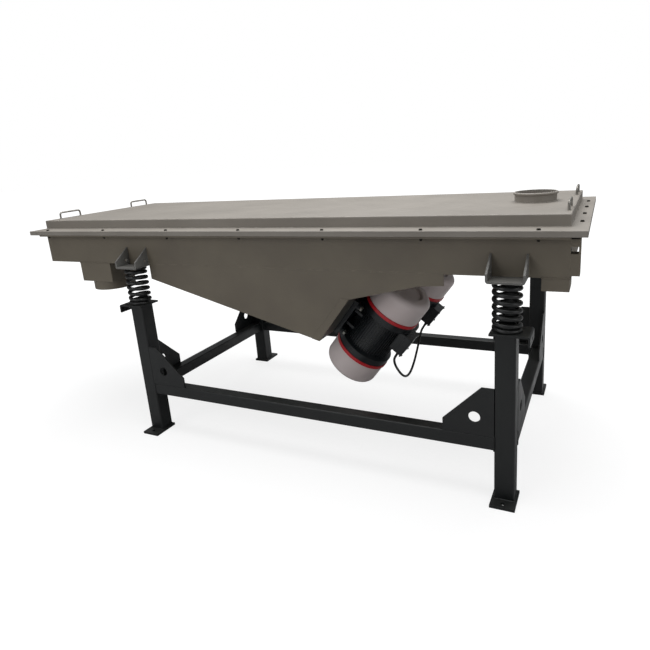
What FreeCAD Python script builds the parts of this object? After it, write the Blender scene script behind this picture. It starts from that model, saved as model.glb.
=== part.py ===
import FreeCAD, Part
import Sketcher
import math
import os
import re

from FreeCAD import Placement, Rotation, Vector

# Linear vibrating sieve: a lidded screen box on four coil springs and a square tube frame.
# Millimetres, +Z up, origin on the floor under the middle. Feed at +X, discharge at -X.
# Everything that lies on the motor beam is drawn in the beam's own tilted frame: local x
# stands off the mounting face, local y is Y and local z climbs the slope.

os.makedirs("parts", exist_ok=True)
doc = FreeCAD.newDocument("VibratingSieve")
sizes = doc.addObject("Spreadsheet::Sheet", "Sizes")

VALUES = {
    # base frame
    "frame_length": 1950, "frame_width": 1130, "frame_right": 1214, "leg_top": 721,
    "leg_side": 80, "leg_wall": 4, "leg_round": 8,
    "foot_thick": 12, "foot_out": 52, "foot_in": 6, "foot_side": 10, "anchor_bore": 18,
    "anchor_inset": 26,
    "rail_side": 60, "rail_wall": 3, "rail_top": 288, "rail_round": 6,
    "gusset_length": 208, "gusset_rise": 208, "gusset_flat": 50, "gusset_end": 54,
    "gusset_thick": 8, "gusset_bore": 48, "gusset_bore_out": 78, "gusset_bore_up": 78,
    # spring seats, springs and the brackets that stand on them
    "seat_thick": 8, "seat_depth": 124, "seat_inner": 58, "seat_outer": 92, "seat_round": 10,
    "lip_drop": 34, "lip_bore": 14, "cup_rise": 26, "cup_wall": 4, "cup_gap": 2.5,
    "spring_radius": 57, "spring_wire": 9, "spring_pitch": 29, "spring_rise": 193,
    "spring_land": 4, "spring_touch": 0.6,
    "bracket_width": 142, "bracket_reach": 90, "bracket_tuck": 34, "bracket_thick": 8,
    "cheek_front": 28, "cheek_rise": 90, "cheek_bore": 16, "cheek_bore_in": 22,
    "cheek_bore_up": 24, "bracket_round": 12,
    # screen box
    "box_length": 2755, "box_right": 1385, "box_width": 990, "box_bottom": 930,
    "sheet": 4, "rim_top": 1088, "rim_thick": 8, "rim_out": 46,
    "wing_left": -625, "wing_foot_x": 343, "wing_foot_z": 598, "wing_rise_angle": 14.8,
    "wing_thick": 6, "wing_edge": 260, "wing_knee_x": 818, "wing_knee_z": 876,
    "wing_end_x": 925, "wing_end_z": 883, "strip_width": 30, "strip_thick": 3,
    "chute_side": 228, "chute_drop": 106, "overs_left": -1140, "fines_left": -884,
    "spout_radius": 110, "spout_drop": 50, "fines_spout_radius": 64, "fines_spout_back": 44,
    "divider_gap": 12, "divider_thick": 4,
    "divider_clear": 6, "slide_rise": 90,
    "cleanout_length": 96, "cleanout_depth": 120, "cleanout_drop": 50,
    "lug_out": 32, "lug_width": 50, "lug_bottom": 940, "lug_top": 1074, "lug_slot": 26,
    "lug_slot_low": 1020, "lug_strap": 6,
    # screen deck
    "deck_rise": 16, "deck_bar": 40, "deck_edge": 8, "deck_rib": 12, "deck_end": -880,
    "mesh_thick": 1.2,
    # cover
    "cover_length": 2880, "cover_right": 1440, "cover_lip_gap": 2, "cover_flange": 110,
    "cover_top": 1155, "flange_top": 1110, "cover_sheet": 3, "pan_right": 1381,
    "pan_round": 5,
    "inlet_x": 1208, "inlet_radius": 88, "inlet_wall": 3, "inlet_rise": 36, "bead_radius": 6,
    "handle_radius": 5, "handle_span": 138, "handle_rise": 34, "handle_bend": 14,
    "handle_out": 275, "handle_inset": 16,
    "bolt_bore": 12, "bolt_inset": 21, "bolt_right": 1278, "bolt_step": 433,
    "end_bolt_inset": 19, "end_bolt_step": 217,
    # motor beam and vibration motors
    "slope": 52, "beam_thick": 20, "beam_length": 405, "rib_thick": 8, "rib_foot": 40,
    "rib_reach": 440, "rib_window": 90,
    "motor_y": 230, "motor_up": 103, "motor_axis": 146, "housing_length": 256,
    "barrel_radius": 112, "barrel_rib_out": 7, "barrel_rib_thick": 4,
    "end_flange_radius": 137, "end_flange_thick": 34, "end_taper": 10,
    "foot_pad_width": 250, "foot_pad_length": 204, "foot_pad_thick": 22,
    "foot_web_width": 170, "foot_web_thick": 14, "foot_web_inner": 40, "foot_web_outer": 94,
    "foot_boss_radius": 19, "foot_boss_rise": 40, "foot_bolt_y": 106, "foot_bolt_step": 78,
    "foot_bolt_radius": 8, "foot_bolt_head": 13, "foot_bolt_rise": 10, "foot_bolt_gap": 1,
    "ring_radius": 140, "ring_wall": 8, "ring_thick": 16,
    "cap_radius": 136, "cap_length": 118, "cap_wall": 4, "cap_round": 28, "cap_dish": 9,
    "dish_radius": 84,
    "shaft_radius": 22, "shaft_gap": 0.05, "shaft_end": 78, "weight_radius": 112,
    "weight_thick": 30, "weight_gap": 12, "weight_hub": 40,
    "stand_rise": 138, "box_rise": 36, "box_long": 100, "box_up": 38, "box_wide": 104,
    "box_lid": 8, "box_lid_edge": 4, "gland_radius": 11, "gland_length": 18,
    "gland_nut": 13, "gland_nut_length": 8,
    "cable_radius": 6,
}
for row, (alias, value) in enumerate(VALUES.items(), start=1):
    sizes.set("A%d" % row, alias)
    sizes.set("B%d" % row, str(value))
    sizes.setAlias("B%d" % row, alias)
doc.recompute()


def bound(text):
    """Write a formula in the sheet's words as an expression of the document."""
    return re.sub(r"[a-z]+(?:_[a-z]+)+|sheet|slope", lambda word: "Sizes." + word.group(), text)


def value(text):
    """The present value of a formula in the sheet's words."""
    return float(sizes.evalExpression(bound(text)))


# Formulas that several pieces share.
FRAME_LEFT = "(frame_right - frame_length)"
BOX_LEFT = "(box_right - box_length)"
COVER_LEFT = "(cover_right - cover_length)"
SEAT_TOP = "(leg_top + seat_thick)"
SLOPE_SIN = "sin(slope * 1 deg)"
SLOPE_COS = "cos(slope * 1 deg)"
INNER_WIDTH = "(box_width - 2 * sheet)"
OVERS_RIGHT = "(overs_left + chute_side)"
# A spring's coil is lofted through this many sections a turn, each with so many sides.
SPRING_STEPS = 12
WIRE_SIDES = 8
# Cooling ribs round the barrel of a motor.
BARREL_RIBS = 60
CORNERS = {
    "front_right": (1, -1),
    "front_left": (-1, -1),
    "rear_right": (1, 1),
    "rear_left": (-1, 1),
}


def frame_end(side):
    """X of the outer face of the frame at its right (1) or left (-1) end."""
    return "frame_right" if side > 0 else FRAME_LEFT


# ---------------------------------------------------------------- ways of building

def new_body(label):
    body = doc.addObject("PartDesign::Body", label)
    body.Label = label
    return body


def put(thing, x="0", y="0", z="0", turn=0, axis=(0, 0, 1)):
    """Place an object at formulas, turned by a fixed angle about one axis."""
    thing.Placement = Placement(Vector(), Rotation(Vector(*axis), turn))
    for name, text in zip("xyz", (x, y, z)):
        thing.setExpression("Placement.Base." + name, bound(text))


def put_on_beam(thing, across="0", up="0", out="0"):
    """Place an object in the tilted frame of the motor beam."""
    thing.Placement = Placement(Vector(), Rotation(Vector(0, 1, 0), 90 - value("slope")))
    thing.setExpression("Placement.Rotation.Angle", bound("90 - slope"))
    x = "wing_foot_x + (%s) * %s + (%s) * %s" % (out, SLOPE_SIN, up, SLOPE_COS)
    z = "wing_foot_z - (%s) * %s + (%s) * %s" % (out, SLOPE_COS, up, SLOPE_SIN)
    for name, text in zip("xyz", (x, across, z)):
        thing.setExpression("Placement.Base." + name, bound(text))


def sketch_on(body, role, offset="0"):
    """A sketch on one of the body's origin planes, moved along the plane's normal."""
    planes = [plane for plane in body.Origin.OriginFeatures if plane.Role == role]
    sketch = body.newObject("Sketcher::SketchObject", body.Name + "_sketch")
    sketch.AttachmentSupport = [(planes[0], "")]
    sketch.MapMode = "FlatFace"
    sketch.setExpression("AttachmentOffset.Base.z", bound(offset))
    return sketch


def hold_point(sketch, geometry, point, x, y):
    """Hold a point of the sketch at two formulas measured from its origin."""
    for kind, text in (("DistanceX", x), ("DistanceY", y)):
        index = sketch.addConstraint(
            Sketcher.Constraint(kind, -1, 1, geometry, point, value(text)))
        sketch.setExpression("Constraints[%d]" % index, bound(text))


def outline(sketch, corners):
    """Draw a closed outline of straight lines with each corner at two formulas."""
    places = [Vector(value(x), value(y), 0) for x, y in corners]
    first = sketch.GeometryCount
    count = len(corners)
    for index, place in enumerate(places):
        sketch.addGeometry(Part.LineSegment(place, places[(index + 1) % count]), False)
    for index, (x, y) in enumerate(corners):
        sketch.addConstraint(Sketcher.Constraint(
            "Coincident", first + index, 2, first + (index + 1) % count, 1))
        hold_point(sketch, first + index, 1, x, y)


def rectangle(sketch, left, right, low, high):
    outline(sketch, [(left, low), (right, low), (right, high), (left, high)])


def disc(sketch, x, y, radius):
    """Draw a circle at two formulas with a radius of its own."""
    circle = sketch.addGeometry(
        Part.Circle(Vector(value(x), value(y), 0), Vector(0, 0, 1), value(radius)), False)
    hold_point(sketch, circle, 3, x, y)
    index = sketch.addConstraint(Sketcher.Constraint("Radius", circle, value(radius)))
    sketch.setExpression("Constraints[%d]" % index, bound(radius))


def pad(body, sketch, length, middle=False, back=False):
    feature = body.newObject("PartDesign::Pad", body.Name + "_pad")
    feature.Profile = sketch
    feature.Midplane = middle
    feature.Reversed = back
    feature.setExpression("Length", bound(length))
    return feature


def cut(body, sketch, length=None, middle=False, back=False):
    """Pocket a sketch to a depth, or right through both ways."""
    feature = body.newObject("PartDesign::Pocket", body.Name + "_cut")
    feature.Profile = sketch
    feature.Midplane = middle
    feature.Reversed = back
    if length is None:
        feature.Type = "ThroughAll"
        feature.Midplane = True
    else:
        feature.setExpression("Length", bound(length))
    return feature


def revolve(body, sketch, axis="Z_Axis"):
    lines = [line for line in body.Origin.OriginFeatures if line.Role == axis]
    feature = body.newObject("PartDesign::Revolution", body.Name + "_turned")
    feature.Profile = sketch
    feature.ReferenceAxis = (lines[0], [""])
    feature.Angle = 360
    return feature


def round_edges(body, radius, choose):
    """Fillet the edges of the body's tip that a test picks."""
    doc.recompute()
    tip = body.Tip
    names = ["Edge%d" % (index + 1) for index, edge in enumerate(tip.Shape.Edges)
             if choose(edge)]
    feature = body.newObject("PartDesign::Fillet", body.Name + "_round")
    feature.Base = (tip, names)
    feature.setExpression("Radius", bound(radius))
    return feature


def runs_along(edge, axis, least=0):
    """True for a straight edge along x, y or z that is longer than least."""
    if edge.Curve.TypeId != "Part::GeomLine" or edge.Length < least:
        return False
    run = edge.Vertexes[-1].Point - edge.Vertexes[0].Point
    return abs(getattr(run, axis)) > 0.999 * edge.Length


def tube(label, side, wall, length, corner):
    """A square tube that runs from its origin along local z."""
    body = new_body(label)
    sketch = sketch_on(body, "XY_Plane")
    half = side + " / 2"
    bore = "(" + half + " - " + wall + ")"
    rectangle(sketch, "-" + half, half, "-" + half, half)
    rectangle(sketch, "-" + bore, bore, "-" + bore, bore)
    pad(body, sketch, length)
    outer = value(half)
    round_edges(body, corner, lambda edge: runs_along(edge, "z")
                and abs(abs(edge.Vertexes[0].X) - outer) < 0.01)
    return body


def together(label, pieces):
    """One node of several loose pieces of the same kind."""
    group = doc.addObject("Part::Compound", label)
    group.Label = label
    group.Links = pieces
    return group


# ---------------------------------------------------------------- base frame

def leg(name, side, row):
    """Upright square tube at one corner of the frame."""
    body = tube("leg_" + name, "leg_side", "leg_wall", "leg_top - foot_thick", "leg_round")
    put(body, "%s - %d * leg_side / 2" % (frame_end(side), side),
        "%d * (frame_width - leg_side) / 2" % row, "foot_thick")
    return body


def foot_plate(name, side, row):
    """Floor plate that reaches outward past its leg and takes the anchor bolt."""
    body = new_body("foot_plate_" + name)
    sketch = sketch_on(body, "XY_Plane")
    rectangle(sketch, "-leg_side / 2 - foot_side", "leg_side / 2 + foot_side",
              "-leg_side / 2 - foot_in", "leg_side / 2 + foot_out")
    disc(sketch, "0", "leg_side / 2 + foot_out - anchor_inset", "anchor_bore / 2")
    pad(body, sketch, "foot_thick")
    put(body, "%s - %d * leg_side / 2" % (frame_end(side), side),
        "%d * (frame_width - leg_side) / 2" % row, turn=0 if row > 0 else 180)
    return body


def long_rail(name, row):
    """Rail along the front or back, flush with the outside of the legs."""
    body = tube(name, "rail_side", "rail_wall", "frame_length - 2 * leg_side", "rail_round")
    put(body, FRAME_LEFT + " + leg_side", "%d * (frame_width - rail_side) / 2" % row,
        "rail_top - rail_side / 2", turn=90, axis=(0, 1, 0))
    return body


def cross_rail(name, side):
    """Rail across one end, flush with the outside of the legs."""
    body = tube(name, "rail_side", "rail_wall", "frame_width - 2 * leg_side", "rail_round")
    put(body, "%s - %d * rail_side / 2" % (frame_end(side), side),
        "-(frame_width / 2 - leg_side)", "rail_top - rail_side / 2", turn=-90, axis=(1, 0, 0))
    return body


def gusset_plate(label, back):
    """Corner plate with two clipped corners and a round hole, in local X and Z."""
    body = new_body(label)
    sketch = sketch_on(body, "XZ_Plane")
    outline(sketch, [
        ("0", "0"),
        ("gusset_length", "0"),
        ("gusset_length", "gusset_end"),
        ("gusset_flat", "gusset_rise"),
        ("0", "gusset_rise"),
    ])
    disc(sketch, "gusset_bore_out", "gusset_bore_up", "gusset_bore / 2")
    pad(body, sketch, "gusset_thick", back=back)
    return body


def gussets(name, side, row):
    """The two gussets of one leg, each flush with an outer face of the frame."""
    along = gusset_plate("gusset_along_" + name, back=side * row > 0)
    put(along, "%s - %d * leg_side" % (frame_end(side), side), "%d * frame_width / 2" % row,
        "rail_top", turn=180 if side > 0 else 0)
    across = gusset_plate("gusset_across_" + name, back=side * row < 0)
    put(across, frame_end(side), "%d * (frame_width / 2 - leg_side)" % row, "rail_top",
        turn=-90 * row)
    return together("gussets_" + name, [along, across])


def spring_seat(name, side, row):
    """Bent plate on the leg's top, with a hooded outer end and the spring's guide ring."""
    body = new_body("spring_seat_" + name)
    plate = sketch_on(body, "XY_Plane")
    rectangle(plate, "-seat_inner", "seat_outer", "-seat_depth / 2", "seat_depth / 2")
    pad(body, plate, "seat_thick")
    lip = sketch_on(body, "XY_Plane", "-lip_drop")
    rectangle(lip, "seat_outer - seat_thick", "seat_outer", "-seat_depth / 2", "seat_depth / 2")
    pad(body, lip, "lip_drop")
    outer = value("seat_outer")
    top = value("seat_thick")
    round_edges(body, "seat_round", lambda edge: runs_along(edge, "y")
                and abs(edge.Vertexes[0].X - outer) < 0.01
                and abs(edge.Vertexes[0].Z - top) < 0.01)
    hole = sketch_on(body, "YZ_Plane", "seat_outer - 2 * seat_thick")
    disc(hole, "0", "-lip_drop / 2", "lip_bore / 2")
    cut(body, hole, "3 * seat_thick", back=True)
    ring = sketch_on(body, "XY_Plane", "seat_thick")
    disc(ring, "0", "0", "spring_radius - 2 * spring_wire - cup_gap")
    disc(ring, "0", "0", "spring_radius - 2 * spring_wire - cup_gap - cup_wall")
    pad(body, ring, "cup_rise")
    put(body, "%s - %d * leg_side / 2" % (frame_end(side), side),
        "%d * (frame_width - leg_side) / 2" % row, "leg_top", turn=0 if side > 0 else 180)
    return body


def spring(name, side, row):
    """Coil spring with a closed coil at each end, ground flat where it sits."""
    coil_radius = value("spring_radius - spring_wire")
    wire = value("spring_wire")
    rise = value("spring_rise")
    start = value("spring_land")
    closed = 2 * wire + value("spring_touch")
    active = (rise - 2 * start - 2 * closed) / value("spring_pitch")
    turns = active + 2

    def height(turn):
        """Height of the wire's middle after a number of turns."""
        open_turns = min(max(turn - 1, 0), active)
        closed_turns = min(turn, 1) + max(turn - 1 - active, 0)
        return start + closed * closed_turns + value("spring_pitch") * open_turns

    steps = round(turns * SPRING_STEPS)
    sections = []
    for step in range(steps + 1):
        turn = turns * step / steps
        around = Rotation(Vector(0, 0, 1), 360 * turn)
        ring = []
        for side_index in range(WIRE_SIDES + 1):
            angle = 2 * math.pi * (side_index + 0.5) / WIRE_SIDES
            ring.append(around.multVec(Vector(
                coil_radius + wire * math.cos(angle), 0,
                height(turn) + wire * math.sin(angle))))
        sections.append(Part.makePolygon(ring))
    coil = Part.makeLoft(sections, True, True)
    feature = doc.addObject("Part::Feature", "spring_" + name)
    feature.Label = "spring_" + name
    feature.Shape = coil.common(Part.makeCylinder(coil_radius + 2 * wire, rise))
    put(feature, "%s - %d * leg_side / 2" % (frame_end(side), side),
        "%d * (frame_width - leg_side) / 2" % row, SEAT_TOP)
    return feature


# ---------------------------------------------------------------- screen box

def bracket(name, side, row):
    """Bent bracket with two cheeks that carries the box on one spring."""
    body = new_body("spring_bracket_" + name)
    base = sketch_on(body, "XY_Plane")
    rectangle(base, "-bracket_width / 2", "bracket_width / 2", "-bracket_reach",
              "bracket_tuck")
    pad(body, base, "bracket_thick", back=True)
    for inner_face in ("bracket_width / 2 - bracket_thick", "-bracket_width / 2"):
        cheek = sketch_on(body, "YZ_Plane", inner_face)
        outline(cheek, [
            ("-bracket_reach", "-bracket_thick"),
            ("0", "-bracket_thick"),
            ("0", "cheek_rise"),
            ("-bracket_reach", "cheek_front"),
        ])
        disc(cheek, "-cheek_bore_in", "cheek_bore_up", "cheek_bore / 2")
        pad(body, cheek, "bracket_thick")
    under = value("-bracket_thick")
    round_edges(body, "bracket_round", lambda edge: runs_along(edge, "y")
                and abs(edge.Vertexes[0].Z - under) < 0.01)
    put(body, "%s - %d * leg_side / 2" % (frame_end(side), side),
        "%d * box_width / 2" % row, "box_bottom", turn=0 if row < 0 else 180)
    return body


def bolt_places():
    """The cover's bolts: seven along each side and four across each end."""
    side = "(box_width / 2 + rim_out - bolt_inset)"
    places = [("bolt_right - %d * bolt_step" % step, sign + side)
              for step in range(7) for sign in ("", "-")]
    for end in ("box_right + rim_out - end_bolt_inset",
                BOX_LEFT + " - rim_out + end_bolt_inset"):
        places += [(end, "%.1f * end_bolt_step" % step) for step in (-1.5, -0.5, 0.5, 1.5)]
    return places


def trough():
    """Welded box: a floor plate with three openings and the four wall plates on it."""
    floor = new_body("trough_floor")
    plate = sketch_on(floor, "XY_Plane")
    rectangle(plate, BOX_LEFT, "box_right", "-box_width / 2", "box_width / 2")
    rectangle(plate, "overs_left + sheet", OVERS_RIGHT + " - sheet",
              "-box_width / 2 + sheet", "-box_width / 2 + chute_side - sheet")
    rectangle(plate, "fines_left + sheet", "fines_left + chute_side - sheet",
              "-chute_side / 2 + sheet", "chute_side / 2 - sheet")
    rectangle(plate, "box_right - cleanout_length + sheet", "box_right - sheet",
              "-box_width / 2 + sheet", "-box_width / 2 + cleanout_depth - sheet")
    pad(floor, plate, "sheet")
    pieces = [floor]
    inner = INNER_WIDTH + " / 2"
    for left, right, low, high in (
            (BOX_LEFT, "box_right", "-box_width / 2", "-" + inner),
            (BOX_LEFT, "box_right", inner, "box_width / 2"),
            (BOX_LEFT, BOX_LEFT + " + sheet", "-" + inner, inner),
            ("box_right - sheet", "box_right", "-" + inner, inner)):
        wall = new_body("trough_wall")
        foot = sketch_on(wall, "XY_Plane", "sheet")
        rectangle(foot, left, right, low, high)
        pad(wall, foot, "rim_top - rim_thick - box_bottom - sheet")
        pieces.append(wall)
    for body in pieces:
        put(body, z="box_bottom")
    return together("trough", pieces)


def rim_bars():
    """Four flat bars on top of the walls, drilled for the cover's bolts."""
    inner = INNER_WIDTH + " / 2"
    wide = "box_width / 2 + rim_out"
    pieces = []
    for left, right, low, high in (
            (BOX_LEFT, "box_right", "-(" + wide + ")", "-" + inner),
            (BOX_LEFT, "box_right", inner, wide),
            (BOX_LEFT + " - rim_out", BOX_LEFT + " + sheet", "-" + inner, inner),
            ("box_right - sheet", "box_right + rim_out", "-" + inner, inner)):
        bar = new_body("rim_bar")
        flat = sketch_on(bar, "XY_Plane")
        rectangle(flat, left, right, low, high)
        for x, y in bolt_places():
            if value(left) < value(x) < value(right) and value(low) < value(y) < value(high):
                disc(flat, x, y, "bolt_bore / 2")
        pad(bar, flat, "rim_thick")
        put(bar, z="rim_top - rim_thick")
        pieces.append(bar)
    return together("rim_bars", pieces)


def inner_plates():
    """Divider between the fines and the overs, and the slide that leads to the overs chute."""
    divider = new_body("divider")
    upright = sketch_on(divider, "XY_Plane", "sheet")
    rectangle(upright, OVERS_RIGHT + " + divider_gap",
              OVERS_RIGHT + " + divider_gap + divider_thick",
              "-box_width / 2 + sheet", "box_width / 2 - sheet")
    pad(divider, upright, "rim_top - box_bottom - sheet - divider_clear")
    slide = new_body("slide")
    slope = sketch_on(slide, "XZ_Plane")
    outline(slope, [
        (BOX_LEFT + " + sheet", "sheet + slide_rise"),
        (BOX_LEFT + " + sheet", "2 * sheet + slide_rise"),
        ("overs_left + sheet", "2 * sheet"),
        ("overs_left + sheet", "sheet"),
        ("overs_left", "sheet"),
    ])
    pad(slide, slope, INNER_WIDTH, middle=True)
    for body in (divider, slide):
        put(body, z="box_bottom")
    return together("inner_plates", [divider, slide])


def chute(label, centre_x, centre_y, spout_x, radius):
    """Square drop box under the floor with a round spout for a sleeve."""
    body = new_body(label)
    walls = sketch_on(body, "XY_Plane")
    half = "chute_side / 2"
    inside = "(chute_side / 2 - sheet)"
    rectangle(walls, "-" + half, half, "-" + half, half)
    rectangle(walls, "-" + inside, inside, "-" + inside, inside)
    pad(body, walls, "chute_drop", back=True)
    base = sketch_on(body, "XY_Plane", "-chute_drop")
    rectangle(base, "-" + half, half, "-" + half, half)
    disc(base, spout_x, "0", radius + " - sheet")
    pad(body, base, "sheet")
    spout = sketch_on(body, "XY_Plane", "-chute_drop")
    disc(spout, spout_x, "0", radius)
    disc(spout, spout_x, "0", radius + " - sheet")
    pad(body, spout, "spout_drop", back=True)
    put(body, centre_x, centre_y, "box_bottom")
    return body


def cleanout():
    """Small pocket under the feed end with a plain bottom plate."""
    body = new_body("cleanout_pocket")
    walls = sketch_on(body, "XY_Plane")
    rectangle(walls, "-cleanout_length", "0", "0", "cleanout_depth")
    rectangle(walls, "-cleanout_length + sheet", "-sheet", "sheet", "cleanout_depth - sheet")
    pad(body, walls, "cleanout_drop", back=True)
    base = sketch_on(body, "XY_Plane", "-cleanout_drop")
    rectangle(base, "-cleanout_length", "0", "0", "cleanout_depth")
    pad(body, base, "sheet")
    put(body, "box_right", "-box_width / 2", "box_bottom")
    return body


def lifting_lugs():
    """A strap with a sling slot at each corner of the feed end."""
    lugs = []
    for row in (-1, 1):
        body = new_body("lifting_lug_front" if row < 0 else "lifting_lug_rear")
        sketch = sketch_on(body, "XZ_Plane")
        outline(sketch, [
            ("0", "lug_bottom"), ("lug_out", "lug_bottom"),
            ("lug_out", "lug_top"), ("0", "lug_top"),
            ("0", "lug_slot_low + lug_slot"),
            ("lug_out - lug_strap", "lug_slot_low + lug_slot"),
            ("lug_out - lug_strap", "lug_slot_low"), ("0", "lug_slot_low"),
        ])
        pad(body, sketch, "lug_width", back=row < 0)
        put(body, "box_right", "%d * box_width / 2" % row)
        lugs.append(body)
    return together("lifting_lugs", lugs)


def wing(name, row):
    """Side plate under the trough that carries one end of the motor beam."""
    body = new_body(name)
    plate = sketch_on(body, "XZ_Plane")
    fall = "tan(wing_rise_angle * 1 deg)"
    edge_x = "wing_foot_x + wing_edge * " + SLOPE_COS
    edge_z = "wing_foot_z + wing_edge * " + SLOPE_SIN
    outline(plate, [
        ("wing_left", "box_bottom"),
        ("wing_left", "wing_foot_z + (wing_foot_x - wing_left) * " + fall),
        ("wing_foot_x", "wing_foot_z"),
        (edge_x, edge_z),
        ("wing_knee_x", "wing_knee_z"),
        ("wing_end_x", "wing_end_z"),
        ("wing_end_x", "box_bottom"),
    ])
    pad(body, plate, "wing_thick", back=row < 0)
    strip = sketch_on(body, "XZ_Plane")
    inset = "strip_width / " + SLOPE_SIN
    outline(strip, [
        ("wing_foot_x", "wing_foot_z"),
        (edge_x, edge_z),
        (edge_x + " - " + inset, edge_z),
        ("wing_foot_x - " + inset, "wing_foot_z + %s * %s" % (inset, fall)),
    ])
    pad(body, strip, "strip_thick", back=row > 0)
    put(body, y="%d * box_width / 2" % row)
    return body


def motor_beam():
    """Sloping mounting plate between the wings, with a rib behind each motor."""
    body = new_body("motor_beam")
    plate = sketch_on(body, "XY_Plane")
    reach = "(box_width / 2 - wing_thick)"
    rectangle(plate, "-beam_thick", "0", "-" + reach, reach)
    pad(body, plate, "beam_length")
    holes = sketch_on(body, "YZ_Plane", "-2 * beam_thick")
    for row in (-1, 1):
        for y, z in foot_bolt_places():
            disc(holes, "%d * motor_y + %s" % (row, y), "motor_up + " + z,
                 "foot_bolt_radius + foot_bolt_gap")
    cut(body, holes, "3 * beam_thick", back=True)
    for row in (-1, 1):
        rib = sketch_on(body, "XZ_Plane", "%d * motor_y - rib_thick / 2" % row)
        rise = "(box_bottom - wing_foot_z)"
        outline(rib, [
            ("-beam_thick", "rib_foot"),
            ("-beam_thick", "(%s - beam_thick * %s) / %s" % (rise, SLOPE_COS, SLOPE_SIN)),
            ("-rib_reach", "(%s - rib_reach * %s) / %s" % (rise, SLOPE_COS, SLOPE_SIN)),
        ])
        disc(rib, "-rib_reach / 3", "motor_up + 3 / 4 * rib_window", "rib_window / 2")
        pad(body, rib, "rib_thick")
    put_on_beam(body)
    return body


def deck_outline(sketch, bar):
    """The deck frame's outer edge and, a bar's width inside it, its window."""
    left = BOX_LEFT + " - deck_edge"
    right = "box_right + deck_edge"
    wide = "(box_width / 2 + deck_edge)"
    rectangle(sketch, left, right, "-" + wide, wide)
    rectangle(sketch, "%s + %s" % (left, bar), "%s - %s" % (right, bar),
              "-%s + %s" % (wide, bar), "%s - %s" % (wide, bar))


def deck_frame():
    """Frame that is clamped on the rim, with ribs that hold the screen cloth."""
    body = new_body("deck_frame")
    border = sketch_on(body, "XY_Plane")
    deck_outline(border, "deck_bar")
    pad(body, border, "deck_rise")
    span = "(box_width / 2 + deck_edge - deck_bar)"
    end = "(box_right + deck_edge - deck_bar)"
    ribs = sketch_on(body, "XY_Plane")
    for step in range(8):
        place = "deck_end + %d * (%s - deck_end) / 8" % (step, end)
        rectangle(ribs, place, place + " + deck_rib", "-" + span, span)
    pad(body, ribs, "deck_rise / 2")
    put(body, z="rim_top")
    return body


def deck_mesh():
    """The screen cloth, lying on the ribs from the feed end to the last rib."""
    body = new_body("deck_mesh")
    sketch = sketch_on(body, "XY_Plane", "deck_rise / 2")
    span = "(box_width / 2 + deck_edge - deck_bar)"
    rectangle(sketch, "deck_end", "box_right + deck_edge - deck_bar", "-" + span, span)
    pad(body, sketch, "mesh_thick")
    put(body, z="rim_top")
    return body


def gasket():
    """Flat seal between the deck frame and the cover."""
    body = new_body("cover_gasket")
    sketch = sketch_on(body, "XY_Plane")
    deck_outline(sketch, "deck_bar")
    pad(body, sketch, "flange_top - cover_sheet - rim_top - deck_rise")
    put(body, z="rim_top + deck_rise")
    return body


# ---------------------------------------------------------------- vibration motors

def foot_bolt_places():
    """Four bolts of one motor's foot: two along each side."""
    return [("%d * foot_bolt_y" % side, "%d * foot_bolt_step" % end)
            for side in (-1, 1) for end in (-1, 1)]


def put_on_motor(thing, row):
    """Place an object on the axis of one motor, at the middle of its length."""
    put_on_beam(thing, "%d * motor_y" % row, "motor_up", "motor_axis")


def housing(name, row):
    """Cast housing: ribbed barrel between end flanges, with foot and terminal stand."""
    body = new_body(name + "_motor_housing")
    profile = sketch_on(body, "XZ_Plane")
    half = "housing_length / 2"
    shaft = "shaft_radius + shaft_gap"
    outline(profile, [
        (shaft, "-" + half),
        ("end_flange_radius", "-" + half),
        ("end_flange_radius", "-" + half + " + end_flange_thick"),
        ("barrel_radius", "-" + half + " + end_flange_thick + end_taper"),
        ("barrel_radius", half + " - end_flange_thick - end_taper"),
        ("end_flange_radius", half + " - end_flange_thick"),
        ("end_flange_radius", half),
        (shaft, half),
    ])
    revolve(body, profile)
    rib = sketch_on(body, "XY_Plane")
    rectangle(rib, "barrel_radius / 2", "barrel_radius + barrel_rib_out",
              "-barrel_rib_thick / 2", "barrel_rib_thick / 2")
    first = pad(body, rib, "housing_length - end_flange_thick", middle=True)
    around = body.newObject("PartDesign::PolarPattern", body.Name + "_ribs")
    around.Originals = [first]
    around.Axis = (rib, ["N_Axis"])
    around.Occurrences = BARREL_RIBS
    body.Tip = around
    webs = sketch_on(body, "YZ_Plane", "-motor_axis")
    for end in (-1, 1):
        for place in ("foot_web_inner", "foot_web_outer"):
            middle = "%d * %s" % (end, place)
            rectangle(webs, "-foot_web_width / 2", "foot_web_width / 2",
                      middle + " - foot_web_thick / 2", middle + " + foot_web_thick / 2")
    pad(body, webs, "motor_axis - barrel_radius / 2")
    foot = sketch_on(body, "YZ_Plane", "-motor_axis")
    rectangle(foot, "-foot_pad_width / 2", "foot_pad_width / 2", "-foot_pad_length / 2",
              "foot_pad_length / 2")
    pad(body, foot, "foot_pad_thick")
    bosses = sketch_on(body, "YZ_Plane", "-motor_axis")
    for y, z in foot_bolt_places():
        disc(bosses, y, z, "foot_boss_radius")
    pad(body, bosses, "foot_boss_rise")
    stand = sketch_on(body, "YZ_Plane", "barrel_radius / 2")
    rectangle(stand, "-box_wide / 2", "box_wide / 2", "box_up - box_long / 2",
              "box_up + box_long / 2")
    pad(body, stand, "stand_rise - barrel_radius / 2")
    bores = sketch_on(body, "YZ_Plane", "-motor_axis")
    for y, z in foot_bolt_places():
        disc(bores, y, z, "foot_bolt_radius + foot_bolt_gap")
    cut(body, bores, "foot_boss_rise", back=True)
    put_on_motor(body, row)
    return body


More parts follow.
